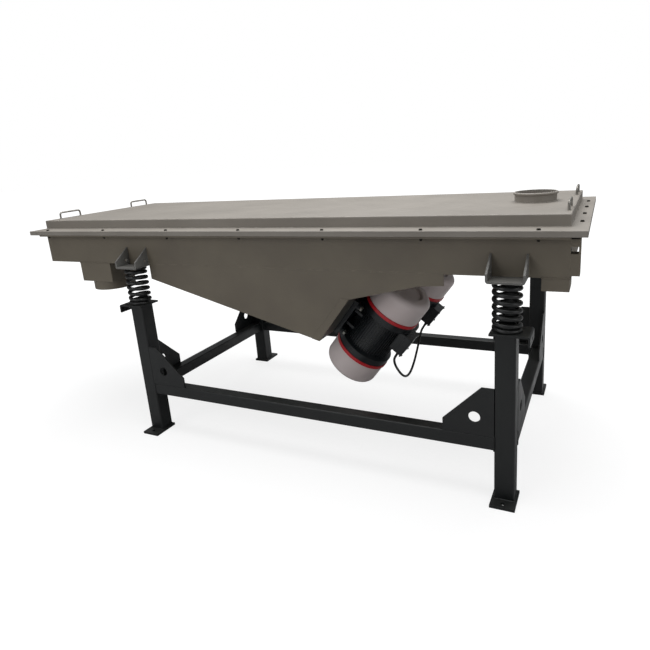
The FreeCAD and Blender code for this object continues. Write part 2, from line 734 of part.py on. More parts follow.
def rings(name, row):
    """Painted spacer ring between each end flange and its cap."""
    pieces = []
    for end in ("-housing_length / 2 - ring_thick", "housing_length / 2"):
        body = new_body(name + "_ring")
        sketch = sketch_on(body, "XY_Plane", end)
        disc(sketch, "0", "0", "ring_radius")
        disc(sketch, "0", "0", "ring_radius - ring_wall")
        pad(body, sketch, "ring_thick")
        put_on_motor(body, row)
        pieces.append(body)
    return together(name + "_motor_rings", pieces)


def cap(label, end):
    """Pressed cap with a rounded rim and a dished end, open towards the housing."""
    body = new_body(label)
    profile = sketch_on(body, "XZ_Plane")
    base = "(housing_length / 2 + ring_thick)"
    top = "(housing_length / 2 + ring_thick + cap_length)"
    inside = "(cap_radius - cap_wall)"

    def level(text):
        return ("-(%s)" if end < 0 else "(%s)") % text

    outline(profile, [
        ("cap_radius", level(base)),
        ("cap_radius", level(top)),
        ("dish_radius", level(top)),
        ("dish_radius - cap_dish", level(top + " - cap_dish")),
        ("0", level(top + " - cap_dish")),
        ("0", level(top + " - cap_dish - cap_wall")),
        ("dish_radius - cap_dish + cap_wall / 2", level(top + " - cap_dish - cap_wall")),
        ("dish_radius + cap_wall / 2", level(top + " - cap_wall")),
        (inside, level(top + " - cap_wall")),
        (inside, level(base)),
    ])
    revolve(body, profile)

    def rim(radius, height):
        return lambda edge: (edge.Curve.TypeId == "Part::GeomCircle"
                             and abs(edge.Curve.Radius - value(radius)) < 0.01
                             and abs(edge.Curve.Center.z - value(level(height))) < 0.01)

    round_edges(body, "cap_round - cap_wall", rim(inside, top + " - cap_wall"))
    round_edges(body, "cap_round", rim("cap_radius", top))
    return body


def caps(name, row):
    pieces = []
    for end in (-1, 1):
        body = cap(name + "_cap", end)
        put_on_motor(body, row)
        pieces.append(body)
    return together(name + "_motor_caps", pieces)


def shaft(name, row):
    """Rotor shaft that runs through the housing into both caps."""
    body = new_body(name + "_motor_shaft")
    half = "(housing_length / 2 + shaft_end)"
    sketch = sketch_on(body, "XY_Plane", "-" + half)
    disc(sketch, "0", "0", "shaft_radius")
    pad(body, sketch, "2 * " + half)
    put_on_motor(body, row)
    return body


def weights(name, row):
    """Half-round eccentric weight with a clamping hub at each end of the shaft."""
    pieces = []
    start = "housing_length / 2 + ring_thick + weight_gap"
    for low in (start, "-(" + start + " + weight_thick)"):
        body = new_body(name + "_weight")
        sector = sketch_on(body, "XY_Plane", low)
        disc(sector, "0", "0", "weight_radius")
        pad(body, sector, "weight_thick")
        away = sketch_on(body, "XY_Plane", low)
        rectangle(away, "0", "weight_radius", "-weight_radius", "weight_radius")
        cut(body, away, "weight_thick", back=True)
        hub = sketch_on(body, "XY_Plane", low)
        disc(hub, "0", "0", "weight_hub")
        pad(body, hub, "weight_thick")
        bore = sketch_on(body, "XY_Plane", low)
        disc(bore, "0", "0", "shaft_radius")
        cut(body, bore, "weight_thick", back=True)
        put_on_motor(body, row)
        pieces.append(body)
    return together(name + "_motor_weights", pieces)


def terminal_box(name, row):
    """Cast terminal box with a lid, on the housing's stand."""
    body = new_body(name + "_terminal_box")
    case = sketch_on(body, "YZ_Plane", "stand_rise")
    rectangle(case, "-box_wide / 2", "box_wide / 2", "box_up - box_long / 2",
              "box_up + box_long / 2")
    pad(body, case, "box_rise - box_lid")
    lid = sketch_on(body, "YZ_Plane", "stand_rise + box_rise - box_lid")
    wide = "(box_wide / 2 + box_lid_edge)"
    rectangle(lid, "-" + wide, wide, "box_up - box_long / 2 - box_lid_edge",
              "box_up + box_long / 2 + box_lid_edge")
    pad(body, lid, "box_lid")
    top = value("stand_rise + box_rise")
    round_edges(body, "box_lid / 2", lambda edge: all(
        abs(vertex.X - top) < 0.01 for vertex in edge.Vertexes))
    put_on_motor(body, row)
    return body


def gland(name, row):
    """Cable gland on the lower end of a terminal box: hexagon and dome."""
    body = new_body(name + "_gland")
    low = "(box_up - box_long / 2)"
    centre = "stand_rise + (box_rise - box_lid) / 2"
    barrel = sketch_on(body, "XY_Plane", low)
    disc(barrel, centre, "0", "gland_radius")
    pad(body, barrel, "gland_length", back=True)
    nut = sketch_on(body, "XY_Plane", low)
    outline(nut, [
        ("%s + gland_nut * cos(%d * 60 deg)" % (centre, corner),
         "gland_nut * sin(%d * 60 deg)" % corner) for corner in range(6)
    ])
    pad(body, nut, "gland_nut_length", back=True)
    put_on_motor(body, row)
    return body


def foot_bolts():
    """Hexagon bolts that clamp both motors' feet, with nuts behind the beam."""
    pieces = []
    for row in (-1, 1):
        for y, z in foot_bolt_places():
            rod = doc.addObject("Part::Cylinder", "foot_bolt_rod")
            rod.setExpression("Radius", bound("foot_bolt_radius"))
            rod.setExpression("Height", bound(
                "foot_boss_rise + beam_thick + 2 * foot_bolt_rise"))
            ends = []
            for low in ("0", "foot_boss_rise + beam_thick + foot_bolt_rise"):
                end = doc.addObject("Part::Prism", "foot_bolt_end")
                end.Polygon = 6
                end.setExpression("Circumradius", bound("foot_bolt_head"))
                end.setExpression("Height", bound("foot_bolt_rise"))
                end.setExpression("Placement.Base.z", bound(low))
                ends.append(end)
            bolt = doc.addObject("Part::MultiFuse", "foot_bolt")
            bolt.Shapes = [rod] + ends
            put_on_beam(bolt, "%d * motor_y + %s" % (row, y), "motor_up + " + z,
                        "-beam_thick - foot_bolt_rise")
            bolt.Placement.Rotation = Rotation(Vector(0, 1, 0), 180 - value("slope"))
            bolt.setExpression("Placement.Rotation.Angle", bound("180 - slope"))
            pieces.append(bolt)
    return together("foot_bolts", pieces)


# The cable hangs from one terminal box to the other: points on its middle line, in
# millimetres, chosen by hand. Both ends are the mouths of the glands.
CABLE_ROUTE = [
    (622.7, -230.0, 472.0),
    (604.9, -230.0, 449.2),
    (591.9, -218.4, 420.0),
    (589.9, -181.2, 365.6),
    (589.0, -84.3, 277.4),
    (589.0, 0.0, 249.0),
    (589.0, 84.3, 277.4),
    (589.9, 181.2, 365.6),
    (591.9, 218.4, 420.0),
    (604.9, 230.0, 449.2),
    (622.7, 230.0, 472.0),
]


def cable():
    """Round cable along its route: straight runs joined by arcs."""
    points = [Vector(*point) for point in CABLE_ROUTE]
    pieces = []
    start = points[0]
    for before, corner, after in zip(points, points[1:], points[2:]):
        arrive = (corner - before).normalize()
        leave = (after - corner).normalize()
        half_turn = arrive.getAngle(leave) / 2
        back = 0.45 * min(corner.distanceToPoint(before), corner.distanceToPoint(after))
        print("cable corner radius %.0f mm" % (back / math.tan(half_turn)))
        first = corner - arrive * back
        last = corner + leave * back
        swell = back / math.tan(half_turn) * (1 / math.cos(half_turn) - 1)
        middle = corner + (leave - arrive).normalize() * swell
        pieces.append(Part.LineSegment(start, first).toShape())
        pieces.append(Part.Arc(first, middle, last).toShape())
        start = last
    pieces.append(Part.LineSegment(start, points[-1]).toShape())
    spine = Part.Wire(pieces)
    circle = Part.Circle(points[0], points[1] - points[0], value("cable_radius"))
    solid = spine.makePipeShell([Part.Wire(circle.toShape())], True, True)
    print("cable volume %.0f, section times length %.0f" % (
        solid.Volume, math.pi * value("cable_radius") ** 2 * spine.Length))
    feature = doc.addObject("Part::Feature", "motor_cable")
    feature.Label = "motor_cable"
    feature.Shape = solid
    return feature


# ---------------------------------------------------------------- cover

def cover_pan():
    """Pressed cover: bolting flange with a turned-down lip and a shallow raised pan."""
    body = new_body("cover_pan")
    wide = "(box_width / 2 + rim_out + cover_lip_gap + cover_sheet)"
    pan = "(%s - cover_flange)" % wide
    under = "(flange_top - cover_sheet - rim_top)"
    flange = sketch_on(body, "XY_Plane", under)
    rectangle(flange, COVER_LEFT, "cover_right", "-" + wide, wide)
    rectangle(flange, BOX_LEFT + " - deck_edge + deck_bar", "pan_right - cover_sheet",
              "-%s + cover_sheet" % pan, pan + " - cover_sheet")
    for x, y in bolt_places():
        disc(flange, x, y, "bolt_bore / 2")
    pad(body, flange, "cover_sheet")
    lip = sketch_on(body, "XY_Plane")
    rectangle(lip, COVER_LEFT, "cover_right", "-" + wide, wide)
    rectangle(lip, COVER_LEFT + " + cover_sheet", "cover_right - cover_sheet",
              "-%s + cover_sheet" % wide, wide + " - cover_sheet")
    pad(body, lip, under)
    walls = sketch_on(body, "XY_Plane", under)
    rectangle(walls, COVER_LEFT, "pan_right", "-" + pan, pan)
    rectangle(walls, COVER_LEFT + " + cover_sheet", "pan_right - cover_sheet",
              "-%s + cover_sheet" % pan, pan + " - cover_sheet")
    pad(body, walls, "cover_top - rim_top - " + under)
    top = sketch_on(body, "XY_Plane", "cover_top - rim_top - cover_sheet")
    rectangle(top, COVER_LEFT, "pan_right", "-" + pan, pan)
    disc(top, "inlet_x", "0", "inlet_radius - inlet_wall")
    pad(body, top, "cover_sheet")
    height = value("cover_top - rim_top")
    round_edges(body, "pan_round", lambda edge: edge.Curve.TypeId == "Part::GeomLine"
                and all(abs(vertex.Z - height) < 0.01 for vertex in edge.Vertexes))
    put(body, z="rim_top")
    return body


def inlet_collar():
    """Short feed pipe on the cover, with a round bead that keeps the sleeve on."""
    body = new_body("inlet_collar")
    pipe = sketch_on(body, "XY_Plane")
    disc(pipe, "0", "0", "inlet_radius")
    disc(pipe, "0", "0", "inlet_radius - inlet_wall")
    pad(body, pipe, "inlet_rise")
    bead = sketch_on(body, "XZ_Plane")
    disc(bead, "inlet_radius", "inlet_rise", "bead_radius")
    revolve(body, bead)
    bore = sketch_on(body, "XY_Plane")
    disc(bore, "0", "0", "inlet_radius - inlet_wall")
    cut(body, bore)
    put(body, "inlet_x", "0", "cover_top")
    return body


def handle(name, side, row):
    """Bent rod handle: two posts, two quarter bends and a grip."""
    rise = "(handle_rise - handle_bend)"
    reach = "(handle_span / 2 - handle_bend)"
    pieces = []
    for sign in (-1, 1):
        post = doc.addObject("Part::Cylinder", "handle_post")
        post.setExpression("Radius", bound("handle_radius"))
        post.setExpression("Height", bound(rise))
        post.setExpression("Placement.Base.y", bound("%d * handle_span / 2" % sign))
        bend = doc.addObject("Part::Torus", "handle_bend")
        bend.setExpression("Radius1", bound("handle_bend"))
        bend.setExpression("Radius2", bound("handle_radius"))
        bend.Angle3 = 90
        upright = Rotation(Vector(1, 0, 0), 90)
        bend.Placement.Rotation = Rotation(Vector(0, 0, 1), 90 * sign).multiply(upright)
        bend.setExpression("Placement.Base.y", bound("%d * %s" % (sign, reach)))
        bend.setExpression("Placement.Base.z", bound(rise))
        pieces += [post, bend]
    grip = doc.addObject("Part::Cylinder", "handle_grip")
    grip.setExpression("Radius", bound("handle_radius"))
    grip.setExpression("Height", bound("2 * " + reach))
    grip.Placement.Rotation = Rotation(Vector(1, 0, 0), -90)
    grip.setExpression("Placement.Base.y", bound("-" + reach))
    grip.setExpression("Placement.Base.z", bound("handle_rise"))
    whole = doc.addObject("Part::MultiFuse", "handle_" + name)
    whole.Shapes = pieces + [grip]
    end = "pan_right - handle_inset" if side > 0 else COVER_LEFT + " + handle_inset"
    put(whole, end, "%d * handle_out" % row, "cover_top")
    return whole


# ---------------------------------------------------------------- assembly

nodes = []
for corner_name, (end_side, row_side) in CORNERS.items():
    for build in (leg, foot_plate, gussets, spring_seat, spring, bracket):
        nodes.append(build(corner_name, end_side, row_side))
nodes += [
    long_rail("rail_front", -1),
    long_rail("rail_rear", 1),
    cross_rail("rail_right", 1),
    cross_rail("rail_left", -1),
    trough(),
    rim_bars(),
    inner_plates(),
    chute("overs_chute", "overs_left + chute_side / 2", "-(box_width - chute_side) / 2",
          "0", "spout_radius"),
    chute("fines_chute", "fines_left + chute_side / 2", "0",
          "-fines_spout_back", "fines_spout_radius"),
    cleanout(),
    lifting_lugs(),
    wing("wing_front", -1),
    wing("wing_rear", 1),
    motor_beam(),
    deck_frame(),
    deck_mesh(),
    gasket(),
    foot_bolts(),
    cable(),
    cover_pan(),
    inlet_collar(),
]
for motor_name, motor_row in (("front", -1), ("rear", 1)):
    for build in (housing, rings, caps, shaft, weights, terminal_box):
        nodes.append(build(motor_name, motor_row))
nodes.append(together("cable_glands", [gland("front", -1), gland("rear", 1)]))
nodes.append(together("cover_handles", [
    handle(name, end_side, row_side) for name, (end_side, row_side) in CORNERS.items()]))

doc.recompute()
for node in nodes:
    bad = [word for word in ("Invalid", "Error") if word in node.State]
    if bad or node.Shape.isNull() or not node.Shape.isValid():
        raise RuntimeError("%s did not build: %s" % (node.Label, node.State))
for node in nodes:
    node.Shape.exportStep("parts/%s.step" % node.Label)
print("%d nodes" % len(nodes))
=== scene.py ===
"""Linear vibrating sieve: finishes, coil springs, cable, bolts, screen cloth and weld seams."""
import math

import bpy
from mathutils import Matrix, Vector


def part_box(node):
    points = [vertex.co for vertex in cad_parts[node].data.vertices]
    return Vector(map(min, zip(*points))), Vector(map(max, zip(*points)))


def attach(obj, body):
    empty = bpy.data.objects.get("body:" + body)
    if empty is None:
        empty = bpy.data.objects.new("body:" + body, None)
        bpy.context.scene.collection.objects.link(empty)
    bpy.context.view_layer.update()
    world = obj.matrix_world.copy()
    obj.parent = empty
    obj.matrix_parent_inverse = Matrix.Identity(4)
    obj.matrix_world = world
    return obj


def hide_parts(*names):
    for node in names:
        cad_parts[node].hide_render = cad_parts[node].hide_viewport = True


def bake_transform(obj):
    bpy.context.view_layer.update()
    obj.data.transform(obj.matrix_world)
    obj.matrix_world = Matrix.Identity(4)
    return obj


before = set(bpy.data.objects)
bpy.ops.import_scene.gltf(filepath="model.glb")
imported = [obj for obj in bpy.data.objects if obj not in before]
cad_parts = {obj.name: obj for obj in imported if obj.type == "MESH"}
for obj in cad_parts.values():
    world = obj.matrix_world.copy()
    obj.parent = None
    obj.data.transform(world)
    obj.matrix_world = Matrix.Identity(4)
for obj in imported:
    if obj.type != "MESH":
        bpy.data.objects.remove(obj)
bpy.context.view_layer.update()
scene = bpy.context.scene
stand, screen_box, cover = "stand", "screen_box", "cover"
corners = ["front_right", "front_left", "rear_right", "rear_left"]


# ---------------------------------------------------------------- small tools

def add(tree, kind, takes=None, **settings):
    """A new node with its settings; takes gives each input a value or a socket to read."""
    node = tree.nodes.new(kind)
    for name, value in settings.items():
        setattr(node, name, value)
    for key, value in (takes or {}).items():
        if isinstance(value, bpy.types.NodeSocket):
            tree.links.new(value, node.inputs[key])
        else:
            node.inputs[key].default_value = value
    return node


def linear(code):
    """An sRGB hex colour as the linear RGBA that a shader takes."""
    shares = [int(code[place:place + 2], 16) / 255 for place in (1, 3, 5)]
    return [share / 12.92 if share <= 0.04045 else ((share + 0.055) / 1.055) ** 2.4
            for share in shares] + [1]


def new_piece(name, mesh):
    piece = bpy.data.objects.new(name, mesh)
    scene.collection.objects.link(piece)
    return piece


# ---------------------------------------------------------------- camera, lamps and floor

CAMERA_PLACE = (1.4886, -2.5394, 1.4369)
CAMERA_RIGHT = Vector((0.90028, 0.42948, -0.07105))
CAMERA_BACK = Vector((0.43237, -0.86322, 0.26059))

lens = bpy.data.cameras.new("camera")
lens.lens = 30.08
lens.sensor_width = 36
lens.shift_x = -0.0235
lens.shift_y = -0.0452
camera = bpy.data.objects.new("camera", lens)
camera_up = CAMERA_BACK.cross(CAMERA_RIGHT)
camera.matrix_world = Matrix.Translation(CAMERA_PLACE) @ Matrix(
    (CAMERA_RIGHT, camera_up, CAMERA_BACK)).transposed().to_4x4()
scene.collection.objects.link(camera)
scene.camera = camera
scene.view_settings.view_transform = "Standard"


def softbox(name, place, aim, size, power):
    """A large square lamp that faces a point."""
    lamp = bpy.data.lights.new(name, "AREA")
    lamp.size = size
    lamp.energy = power
    holder = bpy.data.objects.new(name, lamp)
    holder.location = place
    holder.rotation_euler = (Vector(aim) - Vector(place)).to_track_quat("-Z", "Y").to_euler()
    scene.collection.objects.link(holder)


softbox("sky_panel", place=(0.2, 0.6, 4.6), aim=(0.1, 0.0, 0.9), size=5.0, power=285)
softbox("front_panel", place=(-1.6, -4.4, 2.4), aim=(0.0, 0.0, 0.7), size=2.6, power=44)
softbox("feed_panel", place=(4.6, -1.0, 2.4), aim=(0.6, 0.0, 0.8), size=2.4, power=26)


def seen_directly(tree):
    """1 for rays from the camera, 0 for light on things and for what gloss shows."""
    return add(tree, "ShaderNodeLightPath").outputs["Is Camera Ray"]


world = bpy.data.worlds.new("studio")
world.use_nodes = True
world.node_tree.nodes.clear()
fill_light = add(world.node_tree, "ShaderNodeBackground", {
    "Color": linear("#EEF1F4"), "Strength": 0.30})
white_wall = add(world.node_tree, "ShaderNodeBackground", {
    "Color": (1, 1, 1, 1), "Strength": 1.0})
both_skies = add(world.node_tree, "ShaderNodeMixShader", {
    0: seen_directly(world.node_tree), 1: fill_light.outputs[0], 2: white_wall.outputs[0]})
add(world.node_tree, "ShaderNodeOutputWorld", {0: both_skies.outputs[0]})
scene.world = world

FLOOR_HALF = 40
# The paper sweep brightens from the machine's own surroundings to plain white.
NEAR_FLOOR, FAR_FLOOR = 1.6, 4.5
floor_mesh = bpy.data.meshes.new("floor")
floor_mesh.from_pydata([(-FLOOR_HALF, -FLOOR_HALF, 0), (FLOOR_HALF, -FLOOR_HALF, 0),
                        (FLOOR_HALF, FLOOR_HALF, 0), (-FLOOR_HALF, FLOOR_HALF, 0)],
                       [], [(0, 1, 2, 3)])
floor_finish = bpy.data.materials.new("white_studio_floor")
floor_finish.use_nodes = True
paper = floor_finish.node_tree
paper.nodes.clear()
plain_paper = add(paper, "ShaderNodeBsdfDiffuse", {"Color": linear("#B8B8B8")})
faint_paper = add(paper, "ShaderNodeBsdfDiffuse", {"Color": linear("#8A8A8A")})
floor_place = add(paper, "ShaderNodeTexCoord").outputs["Object"]
from_machine = add(paper, "ShaderNodeVectorMath", {0: floor_place}, operation="LENGTH")
brightening = add(paper, "ShaderNodeMapRange", {
    "Value": from_machine.outputs["Value"], "From Min": NEAR_FLOOR, "From Max": FAR_FLOOR,
    "To Min": 0.80, "To Max": 1.05})
paper_glow = add(paper, "ShaderNodeEmission", {
    "Color": (1, 1, 1, 1), "Strength": brightening.outputs[0]})
glowing_paper = add(paper, "ShaderNodeAddShader", {
    0: faint_paper.outputs[0], 1: paper_glow.outputs[0]})
both_papers = add(paper, "ShaderNodeMixShader", {
    0: seen_directly(paper), 1: plain_paper.outputs[0], 2: glowing_paper.outputs[0]})
add(paper, "ShaderNodeOutputMaterial", {0: both_papers.outputs[0]})
floor_mesh.materials.append(floor_finish)
new_piece("floor", floor_mesh)


# ---------------------------------------------------------------- finishes

def blank_finish(name):
    """A material with only a Principled shader, its tree and the object's own coordinates."""
    material = bpy.data.materials.new(name)
    material.use_nodes = True
    tree = material.node_tree
    tree.nodes.clear()
    shader = add(tree, "ShaderNodeBsdfPrincipled")
    add(tree, "ShaderNodeOutputMaterial", {0: shader.outputs[0]})
    place = add(tree, "ShaderNodeTexCoord").outputs["Object"]
    return material, tree, shader, place


def grain(tree, place, size, detail=3.0):
    """Noise from 0 to 1 whose blotches are about size metres across."""
    return add(tree, "ShaderNodeTexNoise", {
        "Vector": place, "Scale": 1 / size, "Detail": detail}).outputs["Fac"]


def stretch(tree, value, low, high, to_low=0.0, to_high=1.0):
    """A value taken from one range to another and held inside it."""
    return add(tree, "ShaderNodeMapRange", {
        "Value": value, "From Min": low, "From Max": high,
        "To Min": to_low, "To Max": to_high}).outputs[0]


def times(tree, first, second):
    return add(tree, "ShaderNodeMath", {0: first, 1: second}, operation="MULTIPLY").outputs[0]


def tint(tree, share, under, over):
    """One colour laid over another by a share."""
    return add(tree, "ShaderNodeMix", {"Factor": share, 6: under, 7: over},
               data_type="RGBA").outputs[2]


def soft_edges(tree, radius):
    """The surface's direction with its edges rounded, and where those edges are."""
    rounded = add(tree, "ShaderNodeBevel", {"Radius": radius}, samples=4).outputs[0]
    flat = add(tree, "ShaderNodeNewGeometry").outputs["Normal"]
    facing = add(tree, "ShaderNodeVectorMath", {0: rounded, 1: flat},
                 operation="DOT_PRODUCT").outputs["Value"]
    return rounded, stretch(tree, facing, 0.995, 0.86)


def bump(tree, height, depth, normal):
    """Relief of a depth in metres on top of another direction."""
    return add(tree, "ShaderNodeBump", {
        "Height": height, "Distance": depth, "Strength": 1.0, "Normal": normal}).outputs[0]


def sprayed_enamel(name, colour, shade, rubbed_and_highlight, dust, rough, edge=0.0015, rub_and_highlight=0.5,
                   dusty=0.25, wave=0.0):
    """Alkyd enamel sprayed on steel: uneven coats, lightened edges that are rubbed paint and, on the
    cover, also a painted highlight, dust on what faces up.
    """
    material, tree, shader, place = blank_finish(name)
    coats = stretch(tree, grain(tree, place, 0.35), 0.35, 0.65)
    base = tint(tree, coats, linear(colour), linear(shade))
    rounded, edges = soft_edges(tree, edge)
    patches = stretch(tree, grain(tree, place, 0.03), 0.40, 0.66, 0.0, rub_and_highlight)
    # Lightened edges: rubbed paint, and on the cover also a painted highlight.
    worn_and_highlit = tint(tree, times(tree, edges, patches), base, linear(rubbed_and_highlight))
    facing_up = add(tree, "ShaderNodeSeparateXYZ", {
        0: add(tree, "ShaderNodeNewGeometry").outputs["Normal"]}).outputs["Z"]
    settled = times(tree, stretch(tree, facing_up, 0.5, 0.95),
                    stretch(tree, grain(tree, place, 0.09, 6.0), 0.30, 0.72, 0.15, dusty))
    tree.links.new(tint(tree, settled, worn_and_highlit, linear(dust)), shader.inputs["Base Color"])
    smear = stretch(tree, grain(tree, place, 0.12, 5.0), 0.3, 0.7, rough - 0.06, rough + 0.08)
    tree.links.new(smear, shader.inputs["Roughness"])
    # Orange peel is about 2 mm across; drawn at 5 mm so that it still breaks the gloss.
    peel = bump(tree, grain(tree, place, 0.005, 1.0), 0.00004, rounded)
    if wave:
        peel = bump(tree, grain(tree, place, 0.45, 1.0), wave, peel)
    tree.links.new(peel, shader.inputs["Normal"])
    return material


# Warm grey enamel on 4 mm plate: flat and a little chalky, lighter where dust has settled.
box_enamel = sprayed_enamel("warm_grey_enamel", "#70685A", "#665E52", "#B4A896", "#8A8478",
                            rough=0.52, wave=0.002)
# The same paint on the pressed cover, which lies flat and shows the sheet's slow waves. Its colours are
# lighter than the box's as painted light on the up-facing cover, and its strongly lightened edges are
# partly rubbed paint and partly a painted highlight along the pan's top edge.
cover_enamel = sprayed_enamel("warm_grey_cover_enamel", "#8A847C", "#807A72", "#B8B2A9",
                              "#918C85", rough=0.48, edge=0.003, rub_and_highlight=0.9, wave=0.005)
# Mid grey enamel on cut plate, with bright rubbed edges.
bracket_enamel = sprayed_enamel("mid_grey_bracket_enamel", "#6F6E6B", "#646360", "#D4D1CB",
                                "#8B8984", rough=0.42, rub_and_highlight=0.9)
# Black enamel on the stand's tubes: satin, greyed with dust on every upward face.
stand_enamel = sprayed_enamel("black_stand_enamel", "#0D1111", "#090C0D", "#4A4C4A",
                              "#42423F", rough=0.40, edge=0.002, rub_and_highlight=0.35, dusty=0.35)
# Black powder coat on the coils, glossier than the stand and dustless underneath.
spring_enamel = sprayed_enamel("black_spring_coat", "#0E0F0F", "#141515", "#4A4A48",
                               "#3A3936", rough=0.34, rub_and_highlight=0.2, dusty=0.2)
# Blue-black motor enamel over cast iron: thick and glossy, so the fins carry highlights.
motor_enamel = sprayed_enamel("blue_black_motor_enamel", "#12171B", "#0D1114", "#4A4E50",
                              "#3A3B3A", rough=0.30, rub_and_highlight=0.3, dusty=0.25)
# Signal red enamel on the clamp rings.
ring_enamel = sprayed_enamel("red_ring_enamel", "#C81E28", "#B41720", "#D0625E", "#B0605A",
                             rough=0.34, rub_and_highlight=0.3, dusty=0.15)
# Off-white enamel on the pressed caps, slightly pink from the primer under it.
cap_enamel = sprayed_enamel("off_white_cap_enamel", "#D8CCCA", "#CBBDBB", "#E4DCD8",
                            "#BDB1AC", rough=0.38, edge=0.003, rub_and_highlight=0.25, dusty=0.3)
# Dark grey on the motor beam is painted shade: the beam sits in the box's own shade.
beam_paint_with_painted_shade = sprayed_enamel("painted_shade_on_beam", "#4A4945", "#42413D", "#8E8B84",
                             "#6E6B65", rough=0.45, rub_and_highlight=0.5)


def plain_metal(name, colour, dull, rough, streaks=0.0):
    """Bare or plated steel: cloudy, with fine drawn streaks along X if asked for."""
    material, tree, shader, place = blank_finish(name)
    cloud = stretch(tree, grain(tree, place, 0.012, 4.0), 0.35, 0.65)
    tree.links.new(tint(tree, cloud, linear(colour), linear(dull)), shader.inputs["Base Color"])
    shader.inputs["Metallic"].default_value = 1.0
    rounded, _ = soft_edges(tree, 0.0006)
    drawn = add(tree, "ShaderNodeMapping", {"Vector": place, "Scale": (0.04, 1, 1)}).outputs[0]
    tree.links.new(stretch(tree, grain(tree, drawn, 0.002), 0.3, 0.7, rough - 0.05,
                           rough + 0.1), shader.inputs["Roughness"])
    tree.links.new(bump(tree, grain(tree, drawn, 0.002), streaks, rounded),
                   shader.inputs["Normal"])
    return material


# Zinc plate on the bolts: pale, cloudy, half dull.
zinc_plate = plain_metal("zinc_plated_bolts", "#A9A8A1", "#85847D", rough=0.42, streaks=0.00002)
# Old zinc on the cover's bolts, dark from weather.
dark_zinc = plain_metal("weathered_zinc_bolts", "#4A4742", "#2E2C29", rough=0.55,
                        streaks=0.00003)
# Drawn stainless wire of the screen cloth.
cloth_wire = plain_metal("drawn_stainless_wire", "#D2D3D3", "#BEBFBF", rough=0.50)
# Ground steel of the shafts.
ground_steel = plain_metal("ground_shaft_steel", "#A5A6A8", "#8F9092", rough=0.22,
                           streaks=0.00001)
# Oiled cast iron of the weights.
oiled_iron = plain_metal("oiled_cast_iron", "#5A5652", "#474440", rough=0.5, streaks=0.00006)
# Bent rod of the handles, painted over thinly, so it reads as pale dull steel.
handle_rod = plain_metal("dull_handle_rod", "#9C9993", "#7F7C76", rough=0.5, streaks=0.00004)


def black_rubber(name, colour, rough, ribs):
    """Extruded or moulded rubber: near black, soft sheen, a slight grey bloom."""
    material, tree, shader, place = blank_finish(name)
    bloom = stretch(tree, grain(tree, place, 0.02, 5.0), 0.45, 0.8, 0.0, 0.35)
    tree.links.new(tint(tree, bloom, linear(colour), linear("#3B3A38")),
                   shader.inputs["Base Color"])
    shader.inputs["IOR"].default_value = 1.52
    tree.links.new(stretch(tree, bloom, 0.0, 0.35, rough, rough + 0.15),
                   shader.inputs["Roughness"])
    flat = add(tree, "ShaderNodeNewGeometry").outputs["Normal"]
    tree.links.new(bump(tree, grain(tree, place, 0.0015, 2.0), ribs, flat),
                   shader.inputs["Normal"])
    return material


# Sealing strip: matt rubber with a pale bloom.
seal_rubber = black_rubber("sealing_rubber", "#1C1B1A", rough=0.7, ribs=0.00005)
# Cable sheath: smooth rubber with a soft sheen.
sheath_rubber = black_rubber("cable_sheath_rubber", "#0F0F0F", rough=0.42, ribs=0.00002)
# Gland bodies: moulded black nylon.
gland_nylon = black_rubber("moulded_black_nylon", "#191A1B", rough=0.45, ribs=0.00003)


def finish(material, *names):
    for name in names:
        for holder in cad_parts[name].material_slots:
            holder.material = material


finish(stand_enamel, *["leg_" + corner for corner in corners],
       *["foot_plate_" + corner for corner in corners],
       *["gussets_" + corner for corner in corners],
       *["spring_seat_" + corner for corner in corners],
       "rail_front", "rail_rear", "rail_right", "rail_left")
finish(spring_enamel, *["spring_" + corner for corner in corners])
finish(bracket_enamel, *["spring_bracket_" + corner for corner in corners])
finish(box_enamel, "trough", "rim_bars", "inner_plates", "overs_chute",
       "fines_chute", "cleanout_pocket", "lifting_lugs", "wing_front", "wing_rear", "deck_frame")
finish(beam_paint_with_painted_shade, "motor_beam")
finish(cloth_wire, "deck_mesh")
finish(seal_rubber, "cover_gasket")
finish(cover_enamel, "cover_pan", "inlet_collar")
finish(handle_rod, "cover_handles")
finish(zinc_plate, "foot_bolts")
finish(gland_nylon, "cable_glands")
finish(sheath_rubber, "motor_cable")
for motor in ("front", "rear"):
    finish(motor_enamel, motor + "_motor_housing", motor + "_terminal_box")
    finish(ring_enamel, motor + "_motor_rings")
    finish(cap_enamel, motor + "_motor_caps")
    finish(ground_steel, motor + "_motor_shaft")
    finish(oiled_iron, motor + "_motor_weights")


# ---------------------------------------------------------------- motor cable

CABLE_DIAMETER = 0.012
# The lead leaves one gland, hangs between the two terminal boxes and rises to the other.
CABLE_HALF = [(0.6227, 0.2300, 0.4720), (0.6049, 0.2300, 0.4492), (0.5919, 0.2184, 0.4200),
              (0.5899, 0.1812, 0.3656), (0.5890, 0.0843, 0.2774)]
CABLE_LOWEST = (0.5890, 0.0, 0.2490)
cable_route = ([(x, -y, z) for x, y, z in CABLE_HALF] + [CABLE_LOWEST]
               + CABLE_HALF[::-1])


cable_curve = bpy.data.curves.new("motor_cable_sheath", "CURVE")
cable_curve.dimensions = "3D"
cable_curve.bevel_depth = CABLE_DIAMETER / 2
cable_curve.bevel_resolution = 5
cable_curve.resolution_u = 16
cable_line = cable_curve.splines.new("NURBS")
cable_line.points.add(len(cable_route) - 1)
for control, point in zip(cable_line.points, cable_route):
    control.co = (*point, 1)
cable_line.order_u = 3
cable_line.use_endpoint_u = True
cable_curve.materials.append(sheath_rubber)
cable_piece = new_piece("motor_cable_sheath", cable_curve)
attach(cable_piece, screen_box)
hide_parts("motor_cable")


# ---------------------------------------------------------------- pieces grown from rules

